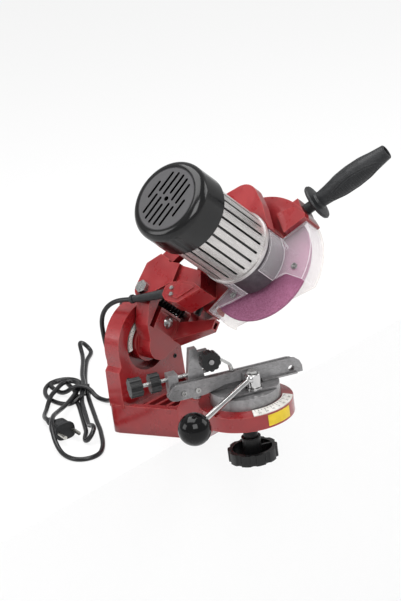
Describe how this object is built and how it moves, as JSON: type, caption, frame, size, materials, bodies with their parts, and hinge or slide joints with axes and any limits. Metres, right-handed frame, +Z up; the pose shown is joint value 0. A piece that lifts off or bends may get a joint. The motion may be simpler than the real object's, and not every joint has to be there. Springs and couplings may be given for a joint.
{
  "type": "electric chainsaw sharpener",
  "caption": "Bench chain grinder: motor head with guarded wheel and chopping handle on a tilting bracket, over a rotating chain vise on a cast base.",
  "frame": {"origin": "midway between the two bench bolt slots, on the bench top that the base stands on", "axes": "+X the operator's right, -Y towards the operator, +Z up"},
  "size_m": [0.3556, 0.5401, 0.3831],
  "materials": {
    "red_casting": "gloss enamel",
    "scale_plate": "printed plate",
    "black_steel": "black oxide",
    "bright_steel": "satin",
    "black_plastic": "satin",
    "grey_casting": "painted grey",
    "dark_band": "satin",
    "motor_alloy": "fine machined",
    "cap_plastic": "textured",
    "stator_iron": "laminated",
    "grinding_wheel": "bonded abrasive",
    "clear_guard": "clear polycarbonate",
    "red_cover": "satin",
    "grip_rubber": "soft matte",
    "vise_steel": "grey zinc",
    "chrome_rod": "polished",
    "black_ball": "gloss",
    "cord_rubber": "matte",
    "brass_pins": "nickel plated"
  },
  "bodies": {
    "base": {"base_casting": "red_casting", "tilt_scale": "scale_plate", "vise_scale": "scale_plate", "column_screws": "black_steel", "power_cord": "cord_rubber", "plug_cord": "cord_rubber", "cord_hank": "cord_rubber", "cord_tie": "cord_rubber", "plug_body": "cord_rubber", "plug_pins": "brass_pins"},
    "tilting_bracket": {"tilt_bracket": "red_casting", "tilt_stud": "bright_steel", "tilt_lock_bolt": "bright_steel", "tilt_lock_washer": "bright_steel", "chop_axle": "bright_steel", "return_spring": "bright_steel"},
    "tilt_lock": {"tilt_lock_knob": "black_plastic"},
    "head": {"head_casting": "red_casting", "motor_front_bell": "grey_casting", "motor_flange": "dark_band", "motor_housing": "motor_alloy", "motor_end_cap": "cap_plastic", "stator": "stator_iron", "spindle_bearings": "bright_steel", "rear_bearing_plate": "grey_casting", "clear_guard": "clear_guard", "outer_guard_plate": "clear_guard", "guard_screws": "bright_steel", "switch_box": "red_cover", "switch_box_cover": "red_cover", "cover_screws": "bright_steel", "handle_stem": "bright_steel", "handle_grip": "grip_rubber", "strain_relief": "cord_rubber"},
    "depth_stop": {"depth_stop_screw": "black_plastic"},
    "wheel_spindle": {"rotor": "bright_steel", "spindle": "bright_steel", "cooling_fan": "black_plastic", "grinding_wheel": "grinding_wheel", "inner_flange": "bright_steel", "outer_flange": "bright_steel", "spindle_nut": "bright_steel"},
    "switch_rocker": {"rocker_switch": "black_plastic"},
    "vise": {"vise_turntable": "vise_steel", "fixed_rail": "vise_steel", "clamp_pin": "bright_steel", "vise_stud": "bright_steel", "lock_spacer": "black_steel"},
    "moving_jaw": {"clamping_rail": "vise_steel", "jaw_screws": "bright_steel"},
    "lever": {"clamp_lever": "chrome_rod", "lever_ball": "black_ball"},
    "chain_stop": {"chain_stop": "vise_steel"},
    "pawl": {"stop_pawl": "bright_steel"},
    "pawl_lock": {"pawl_knob": "black_plastic"},
    "chain_adjuster": {"adjusting_screw": "bright_steel", "adjusting_knob": "black_plastic"},
    "adjuster_lock": {"adjuster_lock_knob": "black_plastic"},
    "handwheel": {"lock_handwheel": "black_plastic"}
  },
  "joints": [
    {"name": "head_tilt", "type": "hinge", "parent": "base", "child": "tilting_bracket", "pos_m": [0, 0, 0.103], "axis": [0, 1, 0], "range_deg": [-43, 3], "deforming": ["power_cord"]},
    {"name": "tilt_lock_turn", "type": "hinge", "parent": "tilting_bracket", "child": "tilt_lock", "pos_m": [0.01978, 0.04, 0.12421], "axis": [0, 1, 0], "range_deg": [0, 120]},
    {"name": "head_chop", "type": "hinge", "parent": "tilting_bracket", "child": "head", "pos_m": [0.03478, 0, 0.1403], "axis": [0.7314, 0, -0.682], "range_deg": [0, 21], "stiffness_Nm_per_rad": 6, "springref_deg": -57.3},
    {"name": "depth_stop_turn", "type": "hinge", "parent": "head", "child": "depth_stop", "pos_m": [0.07358, -0.026, 0.14378], "axis": [0.682, 0, 0.7314], "continuous": true},
    {"name": "wheel_spin", "type": "hinge", "parent": "head", "child": "wheel_spindle", "pos_m": [0.08279, -0.1187, 0.19179], "axis": [0.7314, 0, -0.682], "continuous": true},
    {"name": "switch_rock", "type": "hinge", "parent": "head", "child": "switch_rocker", "pos_m": [0.00621, -0.068, 0.16831], "axis": [0.682, 0, 0.7314], "range_deg": [0, 12]},
    {"name": "vise_swivel", "type": "hinge", "parent": "base", "child": "vise", "pos_m": [0, -0.143, 0.055], "axis": [0, 0, 1], "range_deg": [-5, 65]},
    {"name": "lever_swing", "type": "hinge", "parent": "vise", "child": "lever", "pos_m": [-0.00394, -0.16382, 0.08], "axis": [0, 0, 1], "range_deg": [0, 50]},
    {"name": "jaw_slide", "type": "slide", "parent": "vise", "child": "moving_jaw", "axis": [-0.5, -0.866, 0], "range_m": [0, 0.0003]},
    {"name": "adjuster_turn", "type": "hinge", "parent": "vise", "child": "chain_adjuster", "pos_m": [-0.09792, -0.07261, 0.0965], "axis": [0.866, -0.5, 0], "range_deg": [-1440, 1440]},
    {"name": "stop_slide", "type": "slide", "parent": "vise", "child": "chain_stop", "axis": [0.866, -0.5, 0], "range_m": [-0.005, 0.005]},
    {"name": "adjuster_lock_turn", "type": "hinge", "parent": "vise", "child": "adjuster_lock", "pos_m": [-0.08667, -0.07911, 0.0965], "axis": [0.866, -0.5, 0], "range_deg": [0, 90]},
    {"name": "pawl_lift", "type": "hinge", "parent": "chain_stop", "child": "pawl", "pos_m": [-0.03451, -0.12077, 0.117], "axis": [0.5, 0.866, 0], "range_deg": [-60, 0]},
    {"name": "pawl_lock_turn", "type": "hinge", "parent": "chain_stop", "child": "pawl_lock", "pos_m": [-0.04051, -0.13116, 0.117], "axis": [0.5, 0.866, 0], "range_deg": [0, 180]},
    {"name": "handwheel_turn", "type": "hinge", "parent": "vise", "child": "handwheel", "pos_m": [0, -0.143, -0.017], "axis": [0, 0, 1], "continuous": true}
  ],
  "couplings": [
    {"joint": "jaw_slide", "follows": "lever_swing", "m_per_rad": 0.00034377},
    {"joint": "stop_slide", "follows": "adjuster_turn", "m_per_rad": 0.00019894}
  ]
}
